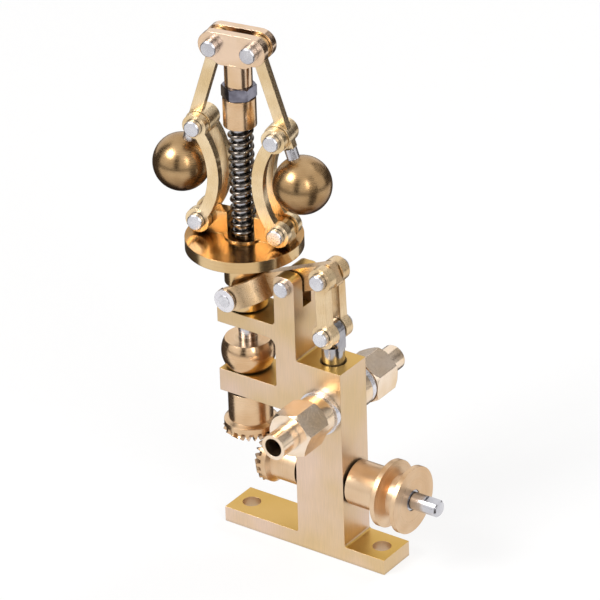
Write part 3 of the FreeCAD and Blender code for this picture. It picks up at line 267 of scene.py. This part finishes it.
# Rocking lever: brass, milled with a yoke round the sleeve and a blade that lies in the
# column's slot. A pin and a soft tinned washer on each side ride in the sleeve's groove.
dress(metal(
    "milled_lever_brass", "#e8caa4", "#d8b486", 0.24, 0.38, (2.5, 0.12, 0.12), 5.0, 0.35),
    "lever")
tin_ring = metal(
    "tin_ring", "#f0eef2", "#e2e0e6", 0.2, 0.32, (0.3, 0.3, 0.3), 2.0, 0.2, edge=0.1)
dress(tin_ring, "front_yoke_washer", "rear_yoke_washer")

# Drop links: a pair of brass strips, filed lengthways, that hang from the lever's end
# and carry the plunger between them.
dress(metal(
    "filed_link_brass", "#ead0a8", "#dab888", 0.24, 0.38, (0.12, 0.12, 2.5), 5.0, 0.35),
    "front_drop_link", "rear_drop_link")

# Valve plunger: a steel rod, ground bright, with a flattened eye at the top. It slides
# in the block and closes the passage between the pipes.
dress(metal(
    "ground_plunger", "#bdbbbd", "#a3a1a6", 0.12, 0.24, (0.10, 0.10, 1.0), 3.0, 0.2,
    edge=0.08, lathe=("valve_plunger", "Z")), "valve_plunger")

# Pipe unions: hexagon brass fittings screwed into the block front and rear, each with a
# neck for the pipe, bedded on a soft tinned ring. The rear one stands on a spacer.
dress(metal(
    "union_brass", "#fae6d0", "#eed2ae", 0.16, 0.28, (0.10, 0.10, 1.0), 6.0, 0.15,
    lathe=("front_union", "Y"), line=0.93), "front_union", "rear_union", "rear_spacer")
dress(tin_ring, "front_seal_ring", "rear_seal_ring")

# Floor: a plain pale table top that keeps the soft shadow. What the camera sees of it,
# and what the metal mirrors of it, is lifted towards white.
white_share = 0.75
bpy.ops.mesh.primitive_plane_add(size=6, location=(0, 0, -0.0001))
floor = bpy.context.object
floor.name = "table_top"
pale = bpy.data.materials.new("pale_table")
pale.use_nodes = True
tree = pale.node_tree
paint = tree.nodes["Principled BSDF"]
paint.inputs["Base Color"].default_value = linear("#f4f3f2")
paint.inputs["Roughness"].default_value = 0.7
rays = add(tree, "ShaderNodeLightPath")
seen = add(
    tree, "ShaderNodeMath", {"operation": "MAXIMUM"},
    at_0=rays.outputs["Is Camera Ray"], at_1=rays.outputs["Is Glossy Ray"])
share = add(
    tree, "ShaderNodeMath", {"operation": "MULTIPLY"}, at_0=seen.outputs[0], at_1=white_share)
white = add(tree, "ShaderNodeEmission", Color=(1, 1, 1, 1), Strength=1.0)
mixed = add(
    tree, "ShaderNodeMixShader", Fac=share.outputs[0], at_1=paint.outputs[0],
    at_2=white.outputs[0])
tree.links.new(mixed.outputs[0], tree.nodes["Material Output"].inputs["Surface"])
floor.data.materials.append(pale)

# World: an even soft light from all round, and plain white where the camera, a mirror
# reflection or a look through glass meets it.
soft_light, plain_white = 0.45, 1.0
world = bpy.data.worlds.new("studio")
bpy.context.scene.world = world
world.use_nodes = True
tree = world.node_tree
rays = add(tree, "ShaderNodeLightPath")
glimpse = add(
    tree, "ShaderNodeMath", {"operation": "MAXIMUM"},
    at_0=rays.outputs["Is Camera Ray"], at_1=rays.outputs["Is Glossy Ray"])
through = add(
    tree, "ShaderNodeMath", {"operation": "MAXIMUM"},
    at_0=glimpse.outputs[0], at_1=rays.outputs["Is Transmission Ray"])
level = add(
    tree, "ShaderNodeMapRange", Value=through.outputs[0],
    From_Min=0.0, From_Max=1.0, To_Min=soft_light, To_Max=plain_white)
background = tree.nodes["Background"]
tree.links.new(level.outputs[0], background.inputs["Strength"])
background.inputs["Color"].default_value = (1, 1, 1, 1)

# Lamps: three soft boxes round the table, all aimed at the middle of the object. Each
# line gives a lamp's place and width in metres and its power in watts.
aimed_at = Vector((0, 0, 0.05))
for name, place, width, watts in (
        ("key_lamp", (-0.45, -0.75, 0.85), 0.45, 9.0),
        ("fill_lamp", (0.85, -0.35, 0.5), 0.5, 5.0),
        ("back_lamp", (0.25, 0.8, 0.65), 0.5, 3.5)):
    lamp = bpy.data.lights.new(name, "AREA")
    lamp.size = width
    lamp.energy = watts
    holder = bpy.data.objects.new(name, lamp)
    holder.location = place
    holder.rotation_euler = (aimed_at - Vector(place)).to_track_quat("-Z", "Y").to_euler()
    bpy.context.collection.objects.link(holder)

# Dark cards: brown cards round the table and on it, painted dark reflections that only
# mirror reflections show and that cast no shadow. They give the round brass its dark
# bands, as a photographer's cards do.
reflection_only_card = bpy.data.materials.new("dark_card")
reflection_only_card.use_nodes = True
tree = reflection_only_card.node_tree
card_surface = tree.nodes["Principled BSDF"]
card_surface.inputs["Base Color"].default_value = linear("#2b211a")
card_surface.inputs["Roughness"].default_value = 0.9
rays = add(tree, "ShaderNodeLightPath")
hidden = add(
    tree, "ShaderNodeMath", {"operation": "SUBTRACT"},
    at_0=1.0, at_1=rays.outputs["Is Glossy Ray"])
gone = add(tree, "ShaderNodeBsdfTransparent")
shown = add(
    tree, "ShaderNodeMixShader", Fac=hidden.outputs[0], at_1=card_surface.outputs[0],
    at_2=gone.outputs[0])
tree.links.new(shown.outputs[0], tree.nodes["Material Output"].inputs["Surface"])

# Standing cards: degrees round from the front, then distance, width, height and the
# height of the middle, in metres.
for name, turn, reach, width, height, lift in (
        ("left_card", -75, 0.55, 0.30, 0.9, 0.35),
        ("front_card", 12, 0.60, 0.22, 0.9, 0.30),
        ("right_card", 78, 0.55, 0.34, 0.9, 0.35),
        ("rear_card", 160, 0.55, 0.5, 0.8, 0.35)):
    angle = math.radians(turn)
    spot = Vector((math.sin(angle) * reach, -math.cos(angle) * reach, lift))
    bpy.ops.mesh.primitive_plane_add(size=1, location=(0, 0, 0))
    card = bpy.context.object
    card.name = name
    facing = Vector((-spot.x, -spot.y, 0)).to_track_quat("Z", "Y").to_matrix().to_4x4()
    card.data.transform(
        Matrix.Translation(spot) @ facing @ Matrix.Diagonal((width, height, 1, 1)))
    card.data.materials.append(reflection_only_card)

# A ring of the same card on the floor, far out, a painted dark reflection which the upright faces
# high on the object mirror.
ring_radius, ring_opening = 0.9, 0.3
bpy.ops.mesh.primitive_circle_add(
    vertices=64, radius=ring_radius, fill_type="NOTHING", location=(0, 0, 0.001))
ring = bpy.context.object
ring.name = "floor_card"
bpy.ops.object.mode_set(mode="EDIT")
bpy.ops.mesh.select_all(action="SELECT")
bpy.ops.mesh.extrude_edges_move()
bpy.ops.transform.resize(value=(ring_opening, ring_opening, 1))
bpy.ops.object.mode_set(mode="OBJECT")
ring.data.materials.append(reflection_only_card)

# The floor sectors are of the same card: painted dark reflections on the floor.
# Floor sectors: degrees round from the camera's side, first and last, and the near and
# far edge in metres. The flat front and the flat right side mirror the gaps between.
camera_side = 35.788
sector_steps = 6
for name, first, last, near, far in (
        ("back_floor_card", 130, 230, 0.03, 0.3),
        ("left_floor_card", -135, -98, 0.035, 0.3),
        ("near_floor_card", 22, 55, 0.04, 0.3)):
    turns = [
        math.radians(camera_side + first + (last - first) * step / sector_steps)
        for step in range(sector_steps + 1)]
    corners = [
        (reach * math.sin(turn), -reach * math.cos(turn), 0.0008)
        for reach in (near, far) for turn in turns]
    row = len(turns)
    sector = bpy.data.meshes.new(name)
    sector.from_pydata(
        corners, [], [(i, i + 1, i + row + 1, i + row) for i in range(sector_steps)])
    sector.materials.append(reflection_only_card)
    card = bpy.data.objects.new(name, sector)
    bpy.context.collection.objects.link(card)

# Camera: the photograph's view, from the front and right, about 29 degrees above level,
# through a long lens. Its place is given from a point on the spindle's side, in mm.
azimuth, elevation, roll = (math.radians(turn) for turn in (camera_side, 29.056, -1.808))
middle, aside, below, distance = Vector((0.5, 0.56, 55.0)), 2.2703, 5.0073, 869.57
back = Vector((
    math.sin(azimuth) * math.cos(elevation), -math.cos(azimuth) * math.cos(elevation),
    math.sin(elevation)))
level_right = Vector((math.cos(azimuth), math.sin(azimuth), 0))
level_up = back.cross(level_right)
right = math.cos(roll) * level_right + math.sin(roll) * level_up
up = math.cos(roll) * level_up - math.sin(roll) * level_right
eye = middle - aside * right - below * up + distance * back
camera = bpy.data.cameras.new("camera")
camera.lens = 296.0
camera.sensor_width = 36.0
camera.clip_start = 0.01
holder = bpy.data.objects.new("camera", camera)
holder.matrix_world = (
    Matrix.Translation(eye / 1000) @ Matrix((right, up, back)).transposed().to_4x4())
bpy.context.collection.objects.link(holder)
bpy.context.scene.camera = holder
bpy.context.scene.view_settings.view_transform = "Standard"
